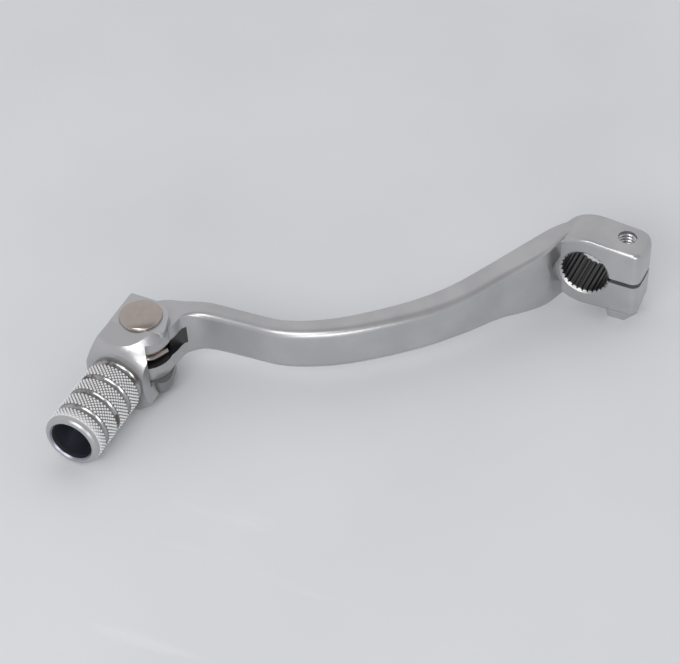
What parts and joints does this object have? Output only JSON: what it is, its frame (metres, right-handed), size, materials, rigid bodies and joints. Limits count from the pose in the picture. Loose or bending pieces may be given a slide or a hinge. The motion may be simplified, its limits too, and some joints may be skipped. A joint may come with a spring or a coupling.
{
  "type": "folding gear lever",
  "caption": "Forged gear lever for an off-road motorbike: splined clamp hub, S-shaped arm and a sprung toe piece with a hollow knurled peg that folds back on a rivet.",
  "frame": {"origin": "centre of the splined bore, halfway along its width", "axes": "+Y along the bore towards the engine, -Y outboard towards the peg, +X from the bore to the clamp ears, +Z along the fold pin; the pinch bolt leans 3.5 degrees from +Z with the drooping ears"},
  "size_m": [0.122, 0.114, 0.0274],
  "materials": {
    "forged_alloy": "bead-blasted satin",
    "toe_alloy": "bead-blasted satin with turned, polished peg grooves",
    "pin_steel": "smooth polished dome",
    "spring_steel": "drawn wire, semi-bright",
    "bolt_steel": "zinc plated"
  },
  "bodies": {
    "lever": {"lever_arm": "forged_alloy", "pinch_bolt": "bolt_steel", "return_spring": "spring_steel"},
    "toe": {"toe_tip": "toe_alloy", "pivot_pin": "pin_steel"}
  },
  "joints": [
    {"name": "toe_fold", "type": "hinge", "parent": "lever", "child": "toe", "pos_m": [-0.0953, -0.073, 0], "axis": [0, 0, 1], "range_deg": [0, 75], "stiffness_Nm_per_rad": 0.15, "springref_deg": -34.38, "deforming": ["return_spring"]}
  ]
}
